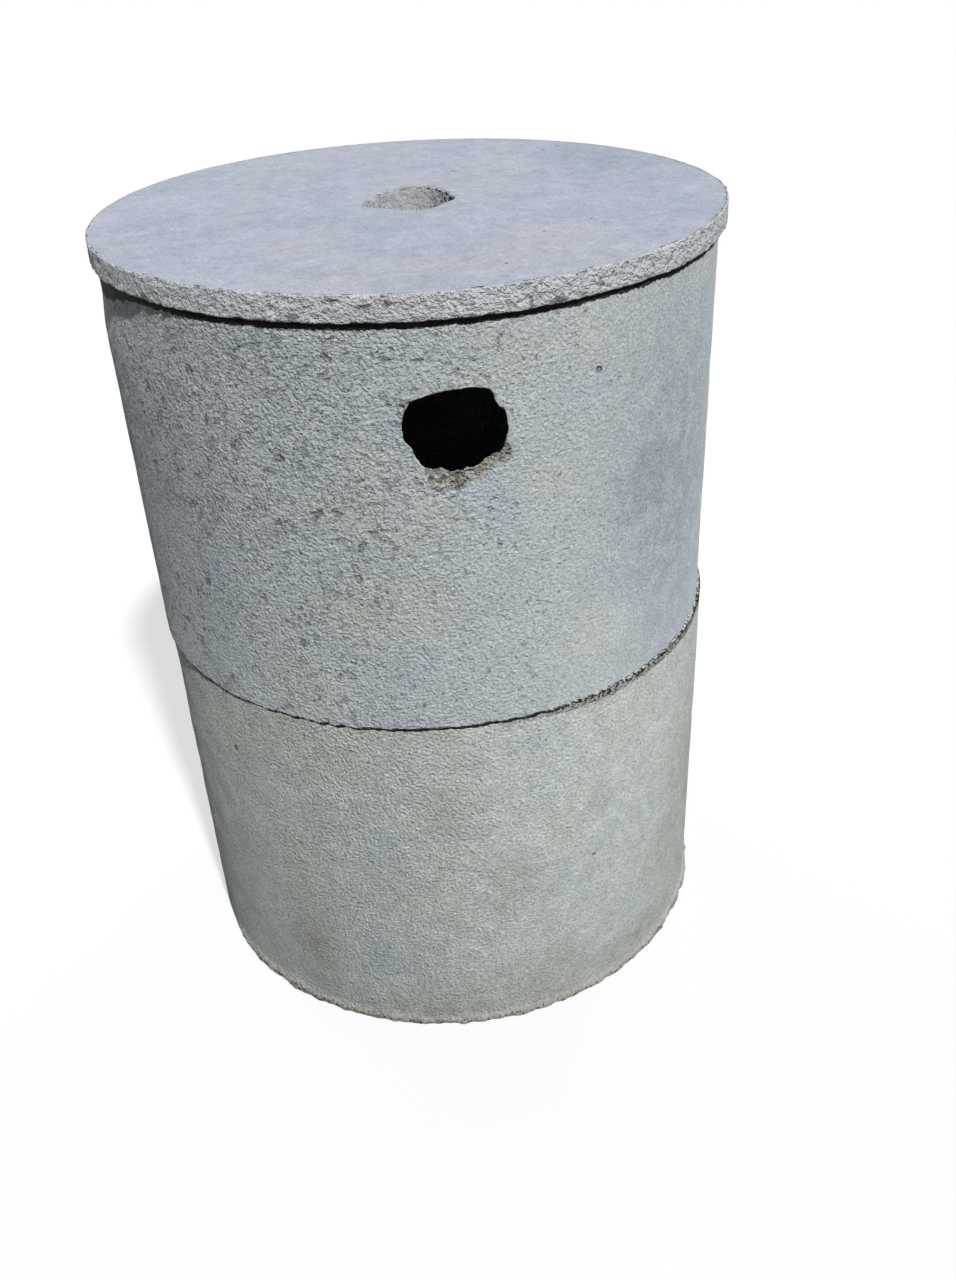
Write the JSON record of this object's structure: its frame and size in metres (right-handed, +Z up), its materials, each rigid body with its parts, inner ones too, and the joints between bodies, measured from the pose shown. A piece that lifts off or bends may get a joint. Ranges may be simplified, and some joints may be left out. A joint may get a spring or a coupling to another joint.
{
  "type": "concrete septic tank",
  "caption": "Round precast concrete septic tank: stacked rings with a floor cast in the lower one, a knocked-out pipe opening, and a flat lid slab with a rough hole.",
  "frame": {"origin": "middle of the base ring's underside, on the ground", "axes": "+Z up along the tank, -Y towards the pipe opening, +X to its right seen from outside"},
  "size_m": [0.9159, 0.916, 1.23],
  "materials": {
    "lid_concrete": "smooth trowelled concrete, rough at its edge",
    "upper_ring_concrete": "matt cast concrete with open pores",
    "base_ring_concrete": "matt cast concrete, stained"
  },
  "bodies": {
    "root": {"lid": "lid_concrete", "upper_ring": "upper_ring_concrete", "base_ring": "base_ring_concrete"}
  },
  "joints": []
}
